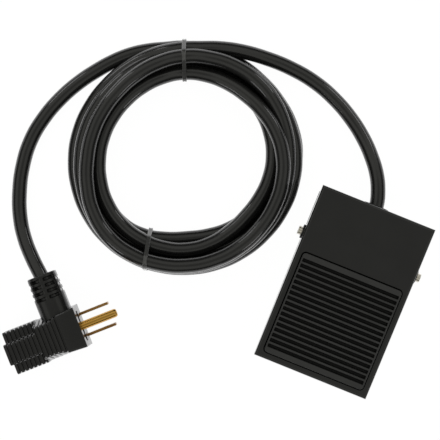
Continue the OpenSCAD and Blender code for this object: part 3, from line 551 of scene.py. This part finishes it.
# The right half of an outline, and its mirror image walked back down
def mirrored(half):
    return half + [(-x, z, radius) for x, z, radius in reversed(half)]


# Rounded rectangle in even steps, walked round from the top of its right side
def roundedOutline(width, height, corner, step):
    turns = np.linspace(0, math.pi / 2, 13)
    quarter = np.stack([np.cos(turns), np.sin(turns)], axis=1) * corner
    quarter += (width / 2 - corner, height / 2 - corner)
    flip = quarter[::-1]
    loop = np.concatenate([quarter, flip * (-1, 1), -quarter, flip * (1, -1), quarter[:1]])
    run = np.concatenate([[0], np.cumsum(np.linalg.norm(np.diff(loop, axis=0), axis=1))])
    even = np.linspace(0, run[-1], int(run[-1] / step), endpoint=False)
    return np.stack([np.interp(even, run, loop[:, 0]), np.interp(even, run, loop[:, 1])], axis=1)


# Section of the front at a distance behind the pin face: a foot that leans in to the flared top
def frontSection(back, inset):
    spread = np.clip((2 * plugForm["flare"] - back) / plugForm["flare"], 0, 1) ** 2
    top = (plugForm["waist"] + (plugForm["width"] - plugForm["waist"]) * spread) / 2 - inset
    return roundCorners(mirrored([
        (plugForm["half"], 0, plugForm["footRound"]), (plugForm["half"], plugForm["hem"], 0),
        (plugForm["half"] - inset, plugForm["hem"] + plugForm["hemLip"] + inset, 0),
        (plugForm["half"] - inset, plugForm["slope"], plugForm["sideRound"]),
        (top, plugForm["height"] - inset, plugForm["topRound"])]))


# Section of the back, the same all along: a wide foot for the blades' slots and a neck for the round socket
def backSection(back, inset):
    foot, neck = plugForm["backWidth"] / 2, plugForm["neck"] / 2 - inset
    ledge = plugForm["backHeight"] - inset
    return roundCorners(mirrored([
        (foot, 0, plugForm["footRound"]), (foot, plugForm["hem"], 0),
        (foot - inset, plugForm["hem"] + plugForm["hemLip"] + inset, 0),
        (foot - inset, ledge, plugForm["backRound"]), (neck, ledge, plugForm["neckRound"]),
        (neck, plugForm["height"] - inset, plugForm["backRound"])]))


# Distances at which a groove or a soft end starts, turns and ends
def stations(start, end):
    length = plugForm["length"]
    grooves = length - plugForm["lastGroove"] - plugForm["pitch"] * np.arange(plugForm["grooves"])
    edges = plugForm["grooveWidth"] / 2 * np.array([-1.3, -1.1, -0.85, -0.5, 0, 0.5, 0.85, 1.1, 1.3])
    soft = plugForm["soft"] * np.array([0, 0.04, 0.15, 0.35, 0.65, 1])
    marks = np.concatenate([(grooves[:, None] + edges).ravel(), soft, length - soft, [start, end]])
    return np.unique(np.round(marks[(marks >= start) & (marks <= end)], 7)), grooves


# Sections from start to end, drawn in by the grooves, which keep a flat bottom, and by the rounded ends
def loft(section, start, end):
    backs, grooves = stations(start, end)
    rows = []
    for back in backs:
        away = np.min(np.abs(grooves - back)) / (plugForm["grooveWidth"] / 2)
        inset = plugForm["grooveDepth"] * float(np.clip(1 - max(away - 0.5, 0) / 0.6, 0, 1)) ** 0.7
        near = min(back, plugForm["length"] - back)
        bend = max(0.0, 1 - near / plugForm["soft"])
        inset += plugForm["soft"] * (1 - math.sqrt(1 - bend ** 2))
        flat = section(back, inset)
        rows.append(np.stack([np.full(len(flat), -back), flat[:, 0], flat[:, 1]], axis=1))
    return np.array(rows)


# Back face with its three openings, and the wells behind them
def socketFace(rim):
    wells = []
    for side in (-1, 1):
        slot = roundedOutline(plugForm["slotWidth"], plugForm["slotHeight"], 0.3 * mm, 0.5 * mm)
        wells.append(slot + (side * plugForm["bladeSpan"] / 2, plugForm["bladeHeight"]))
    turn = np.linspace(0, 2 * math.pi, 40, endpoint=False)
    circle = np.stack([np.cos(turn), np.sin(turn)], axis=1) * plugForm["socket"] / 2
    wells.append(circle + (0, plugForm["pinHeight"]))
    loops = [rim[:, 1:]] + wells
    flat = np.concatenate(loops)
    points = [np.column_stack([np.full(len(flat), rim[0, 0]), flat])]
    outlines = [[(y, z, 0) for y, z in loop] for loop in loops]
    faces = [list(triangle) for triangle in tessellate_polygon(outlines)]
    base, deep = len(rim), len(flat)
    for well in wells:
        points.append(np.column_stack([np.full(len(well), rim[0, 0] + plugForm["socketDepth"]), well]))
        around = np.arange(len(well))
        ahead = (around + 1) % len(well)
        faces += np.stack([base + around, base + ahead, deep + ahead, deep + around], axis=1).tolist()
        faces.append((deep + around).tolist())
        base += len(well)
        deep += len(well)
    return np.concatenate(points), faces


# Front, back, face plate and socket joined in one mesh
def makePlugBody():
    step = plugForm["length"] - plugForm["back"]
    front = loft(frontSection, 0, step)
    rear = loft(backSection, step, plugForm["length"])
    rim = rear[-1]
    face, faceFaces = socketFace(rim)
    plate = roundedOutline(plugForm["plate"][0], plugForm["plate"][1], 2 * mm, 0.5 * mm)
    rows = [np.column_stack([np.full(len(plate), out), plate * shrink]) for out, shrink in
            ((-1 * mm, 1), (plugForm["plate"][2] - 0.1 * mm, 1), (plugForm["plate"][2], 0.985))]
    plateRows = np.array(rows) + (0, 0, plugForm["plateHeight"])
    points, faces = [], []

    def add(more, moreFaces):
        base = sum(len(part) for part in points)
        points.append(more.reshape(-1, 3))
        faces.extend([[base + v for v in f] for f in moreFaces])

    add(front, cappedFaces(*front.shape[:2]))
    add(rear, cappedFaces(*rear.shape[:2])[:-1])
    add(face, faceFaces)
    add(plateRows, cappedFaces(*plateRows.shape[:2]))
    points = plugToFrame(np.concatenate(points))
    obj = meshObject("plugBody", points, faces, "base", "vinyl", 35)
    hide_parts("plug_body")
    return obj


# inset = windows above and below beside the spine, and windows in the sides half a pitch further on
def makeRelief():
    outline = roundedOutline(relief["width"], relief["height"], relief["corner"], 0.3 * mm)
    x, z = outline[:, 0], outline[:, 1]
    ahead = np.roll(outline, -1, axis=0) - np.roll(outline, 1, axis=0)
    normal = np.stack([ahead[:, 1], -ahead[:, 0]], axis=1) / np.linalg.norm(ahead, axis=1)[:, None]
    back = np.append(np.arange(0, relief["length"] + relief["gap"], relief["step"]),
                     [plug["stemReach"] - relief["root"]])     # distance from the end that the cord enters
    centres = relief["first"] + relief["pitch"] * np.arange(relief["slots"])
    topSlots = sum(pulse(back - centre, relief["gap"]) for centre in centres)
    sideSlots = sum(pulse(back - centre - relief["pitch"] / 2, relief["gap"]) for centre in centres[:-1])
    middle = (relief["spine"] / 2 + relief["window"]) / 2
    topWindow = pulse(np.abs(x) - middle, relief["window"] - relief["spine"] / 2)
    topWindow *= np.abs(normal[:, 1]) > 0.5
    sideWindow = pulse(z, relief["height"] * 0.6) * (np.abs(normal[:, 0]) > 0.7)
    inset = topSlots[:, None] * topWindow * relief["topDepth"]
    inset += sideSlots[:, None] * sideWindow * relief["sideDepth"]
    inset += relief["taper"] * np.clip(1 - back / relief["length"], 0, 1)[:, None]
    bend = np.clip(1 - back / relief["edge"], 0, 1)
    inset += relief["edge"] * (1 - np.sqrt(1 - bend ** 2))[:, None]
    flat = outline[None, :, :] - normal[None, :, :] * inset[..., None]
    points = np.stack([flat[..., 0] - plug["stemBack"],
                       np.broadcast_to(plug["stemReach"] - back[:, None], inset.shape),
                       flat[..., 1] + plug["stemHeight"]], axis=-1)
    obj = meshObject("ribbedRelief", plugToFrame(points), cappedFaces(len(back), len(outline)),
                     "base", "reliefVinyl")
    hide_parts("plug_relief")
    return obj


# Turned pin with a rounded tip: rings of radius r(x)
def makeGroundPin():
    bend = np.linspace(0, math.pi / 2, 9)
    drop = (pin["diameter"] - pin["tipDiameter"]) / 2
    x = np.concatenate([[-pin["root"], 0], pin["length"] - pin["tip"] * (1 - np.sin(bend))])
    r = np.concatenate([[pin["diameter"] / 2] * 2, pin["diameter"] / 2 - drop * (1 - np.cos(bend))])
    turn = np.linspace(0, 2 * math.pi, pin["sides"], endpoint=False)
    points = np.stack([np.broadcast_to(x[:, None], (len(x), len(turn))), r[:, None] * np.cos(turn),
                       r[:, None] * np.sin(turn) + plugForm["pinHeight"]], axis=-1)
    faces = cappedFaces(len(x), len(turn))
    obj = meshObject("groundPin", plugToFrame(points), faces, "base", "goldBrass")
    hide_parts("plug_ground_pin")
    return obj


plugBody = makePlugBody()
ribbedRelief = makeRelief()
groundPin = makeGroundPin()
print("plug done")


# Rubber tread
tread = {
    "width": 59 * mm, "length": 59.5 * mm, "corner": 2 * mm, "front": 4.1 * mm,
    "proud": 1.5 * mm, "sunk": 1 * mm, "grooveDepth": 2 * mm, "edge": 0.35 * mm,
    "ridges": 16, "ridgeWidth": 1.2 * mm, "pitch": 3.2 * mm, "border": 1 * mm,
    "ridgeSteps": 20, "ridgeCrown": 0.22 * mm,
}


# height = proud - depth * bowl(along) * ends(across): round-bottomed grooves between crowned ridges
def makeTread():
    halfWidth, halfLength = tread["width"] / 2, tread["length"] / 2
    halfGroove = (tread["pitch"] - tread["ridgeWidth"]) / 2
    span = tread["ridges"] * tread["pitch"] + 2 * halfGroove
    fromEdge = np.array([0, 0.1, 0.22, 0.35, 0.5]) * mm
    grooved = np.linspace(-span / 2, span / 2, (tread["ridges"] + 1) * tread["ridgeSteps"] + 1)
    rim = np.linspace(halfLength - 0.7 * mm, span / 2 + 0.1 * mm, 8)
    y = np.concatenate([-halfLength + fromEdge, -rim, grooved, rim[::-1], halfLength - fromEdge[::-1]])
    side = np.concatenate([fromEdge, tread["border"] + np.array([-0.2, -0.1, 0, 0.1, 0.2, 0.35, 0.6]) * mm])
    x = np.concatenate([-halfWidth + side, np.linspace(-halfWidth + 2 * mm, halfWidth - 2 * mm, 25),
                        halfWidth - side[::-1]])
    across, along = np.meshgrid(x, y)
    phase = (along / tread["pitch"] + (tread["ridges"] + 1) / 2) % 1
    away = np.abs(phase - 0.5) * tread["pitch"]                  # distance from the middle of a groove
    bowl = np.sqrt(np.clip(1 - np.clip(away / halfGroove, 0, 1) ** 4, 0, 1))
    inside = (np.abs(along) < span / 2 + 0.01 * mm).astype(float)
    ends = smoothStep((halfWidth - tread["border"] - np.abs(across)) / (0.3 * mm) + 0.5)
    crown = np.clip((away - halfGroove) / (tread["ridgeWidth"] / 2), 0, 1)
    height = tread["proud"] - tread["grooveDepth"] * bowl * inside * ends
    height -= tread["ridgeCrown"] * (1 - crown) ** 2 * inside * ends * (away >= halfGroove)
    border = np.minimum(halfWidth - np.abs(across), halfLength - np.abs(along))
    lip = np.clip(1 - border / tread["edge"], 0, 1)
    height -= tread["edge"] * (1 - np.sqrt(1 - lip ** 2)) * (inside * ends < 0.5)
    # The corners of the grid are drawn in to quarter circles
    corner = tread["corner"]
    a = np.clip((np.abs(across) - halfWidth + corner) / corner, 0, 1)
    b = np.clip((np.abs(along) - halfLength + corner) / corner, 0, 1)
    pull = np.where((a > 0) & (b > 0), np.maximum(a, b) / np.maximum(np.hypot(a, b), 1e-9), 1)
    across = np.where(a > 0, np.sign(across) * (halfWidth - corner + corner * a * pull), across)
    along = np.where(b > 0, np.sign(along) * (halfLength - corner + corner * b * pull), along)
    along += tread["front"] - pedalPlane["length"] / 2 + halfLength
    points = np.stack([across, along, height], axis=-1)
    rows, columns = across.shape
    index = np.arange(rows * columns).reshape(rows, columns)
    quads = np.stack([index[:-1, :-1], index[:-1, 1:], index[1:, 1:], index[1:, :-1]], axis=-1).reshape(-1, 4)
    loop = np.concatenate([index[0, :-1], index[:-1, -1], index[-1, :0:-1], index[:0:-1, 0]])
    low = points.reshape(-1, 3)[loop].copy()
    low[:, 2] = -tread["sunk"]
    under = rows * columns + np.arange(len(loop))
    walls = np.stack([np.roll(loop, -1), loop, under, np.roll(under, -1)], axis=1)
    everything = pedalToFrame(np.concatenate([points.reshape(-1, 3), low]))
    faces = quads.tolist() + walls.tolist() + [under[::-1].tolist()]
    obj = meshObject("tread", everything, faces, "pedal", "treadRubber", 50)
    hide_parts("tread_pad")
    # The UV's second value is the share of the groove's depth, which the rubber's finish reads
    share = np.concatenate([(tread["proud"] - height).ravel() / tread["grooveDepth"], np.ones(len(low))])
    corners = np.zeros(len(obj.data.loops), dtype=np.int32)
    obj.data.loops.foreach_get("vertex_index", corners)
    layer = obj.data.uv_layers.new(name="depth")
    layer.data.foreach_set("uv", np.column_stack([np.zeros(len(corners)), share[corners]]).ravel())


makeTread()
print("tread done")


# Return springs
springs = {
    "wire": 1.0 * mm, "outside": 9.6 * mm, "turns": 6, "closed": 0.9,
    "sides": 12, "ringsPerTurn": 40, "joint": "pedal_hinge", "keep": 0.905,
}


# Round wire along a helix whose turns lie closest at the ends and in the middle:
# x = r cos, y = r sin, z by a soft ramp
def makeSprings():
    low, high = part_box("return_springs")
    radius = (springs["outside"] - springs["wire"]) / 2
    turn = np.linspace(0, springs["turns"], springs["turns"] * springs["ringsPerTurn"] + 1)
    share = turn / springs["turns"]
    rise = high[2] - low[2] - springs["wire"]
    ramp = share - springs["closed"] * np.sin(4 * math.pi * share) / (4 * math.pi)
    angle = 2 * math.pi * turn
    line = np.stack([radius * np.cos(angle), radius * np.sin(angle),
                     low[2] + springs["wire"] / 2 + rise * ramp], axis=1)
    ahead = np.gradient(line, axis=0)
    ahead /= np.linalg.norm(ahead, axis=1)[:, None]
    outward = np.stack([np.cos(angle), np.sin(angle), np.zeros(len(angle))], axis=1)
    upward = np.cross(ahead, outward)
    around = np.linspace(0, 2 * math.pi, springs["sides"], endpoint=False)
    ring = (outward[:, None, :] * np.cos(around)[None, :, None]
            + upward[:, None, :] * np.sin(around)[None, :, None]) * springs["wire"] / 2
    one = (line[:, None, :] + ring).reshape(-1, 3)
    middle = (low[1] + high[1]) / 2
    reach = (high[0] - low[0]) / 2 - springs["outside"] / 2
    points = np.concatenate([one + (side * reach, middle, 0) for side in (-1, 1)])
    both = cappedFaces(len(line), springs["sides"])
    both += [[v + len(one) for v in face] for face in both]
    obj = meshObject("coilSprings", points, both, "base", "springSteel")
    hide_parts("return_springs")
    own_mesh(obj)


makeSprings()
print("springs done")


# Soft edges on the parts that keep their solids
bevels = {
    "pedal": 0.25 * mm, "base_pan": 0.15 * mm, "plug_blades": 0.15 * mm, "pivot_screws": 0.12 * mm,
    "pivot_washers": 0.1 * mm, "cord_bushing": 0.2 * mm,
}
for node, width in bevels.items():
    addBevel(nodes[node], width)


# Floor and light
stage = {"size": 12.0, "floor": 0.80, "seen": 1.08, "share": 0.9}
light = {
    "horizon": 0.08, "dome": 0.60, "overhead": 0.30, "tint": 0.93, "leftGain": 0.12,
    "boxes": 4, "boxTurn": 65, "boxRise": 21, "boxAway": 1.1, "boxSize": 0.26, "boxPower": 0.65,
}


# A pale sheet that the camera and the reflections see as nearly plain white, with a trace of the shadow
def makeFloor():
    half = stage["size"] / 2
    mesh = bpy.data.meshes.new("floor")
    corners = [(-half, -half, 0), (half, -half, 0), (half, half, 0), (-half, half, 0)]
    mesh.from_pydata(corners, [], [(0, 1, 2, 3)])
    obj = bpy.data.objects.new("floor", mesh)
    bpy.context.scene.collection.objects.link(obj)
    material = bpy.data.materials.new("floor")
    material.use_nodes = True
    tree = material.node_tree
    shader = tree.nodes["Principled BSDF"]
    shader.inputs["Base Color"].default_value = (stage["floor"], stage["floor"], stage["floor"], 1)
    shader.inputs["Roughness"].default_value = 0.9
    white = tree.nodes.new("ShaderNodeEmission")
    white.inputs["Strength"].default_value = stage["seen"]
    path = tree.nodes.new("ShaderNodeLightPath")
    straight = calculate(tree, "MAXIMUM", path.outputs["Is Camera Ray"], path.outputs["Is Glossy Ray"])
    straight = calculate(tree, "MAXIMUM", straight, path.outputs["Is Transmission Ray"])
    mix = tree.nodes.new("ShaderNodeMixShader")
    link(tree, calculate(tree, "MULTIPLY", straight, stage["share"]), mix.inputs["Fac"])
    link(tree, shader.outputs["BSDF"], mix.inputs[1])
    link(tree, white.outputs["Emission"], mix.inputs[2])
    link(tree, mix.outputs["Shader"], tree.nodes["Material Output"].inputs["Surface"])
    mesh.materials.append(material)


# A tent of soft light: dim at the horizon, bright above, less so straight overhead, brighter to the left
def makeWorld():
    world = bpy.data.worlds.new("tent")
    bpy.context.scene.world = world
    world.use_nodes = True
    tree = world.node_tree
    place = tree.nodes.new("ShaderNodeTexCoord")
    split = tree.nodes.new("ShaderNodeSeparateXYZ")
    ramp = tree.nodes.new("ShaderNodeValToRGB")
    stops = [(0.0, light["horizon"]), (0.45, light["horizon"]), (0.64, light["dome"]),
             (0.92, light["dome"]), (0.985, light["overhead"])]
    while len(ramp.color_ramp.elements) < len(stops):
        ramp.color_ramp.elements.new(1)
    for element, (position, value) in zip(ramp.color_ramp.elements, stops):
        element.position = position
        element.color = (value, value, value * light["tint"], 1)
    link(tree, place.outputs["Generated"], split.inputs["Vector"])
    link(tree, split.outputs["Z"], ramp.inputs["Fac"])
    background = tree.nodes["Background"]
    link(tree, ramp.outputs["Color"], background.inputs["Color"])
    side = calculate(tree, "MULTIPLY_ADD", split.outputs["X"], -light["leftGain"], 1.0)
    link(tree, side, background.inputs["Strength"])


# Small soft boxes low around the part, which draw the short glints on the cord
def makeBoxes():
    for k in range(light["boxes"]):
        turn = math.radians(light["boxTurn"] + 360 * k / light["boxes"])
        rise = math.radians(light["boxRise"])
        data = bpy.data.lights.new(f"box{k + 1}", "AREA")
        data.shape = "SQUARE"
        data.size = light["boxSize"]
        data.energy = light["boxPower"]
        obj = bpy.data.objects.new(f"box{k + 1}", data)
        flat = light["boxAway"] * math.cos(rise)
        obj.location = (camera["spot"][0] + flat * math.cos(turn), camera["spot"][1] + flat * math.sin(turn),
                        light["boxAway"] * math.sin(rise))
        obj.rotation_euler = (0, math.pi / 2 - rise, turn)
        bpy.context.scene.collection.objects.link(obj)


makeFloor()
makeWorld()
makeBoxes()
bpy.context.scene.view_settings.view_transform = "Standard"
print("stage done")
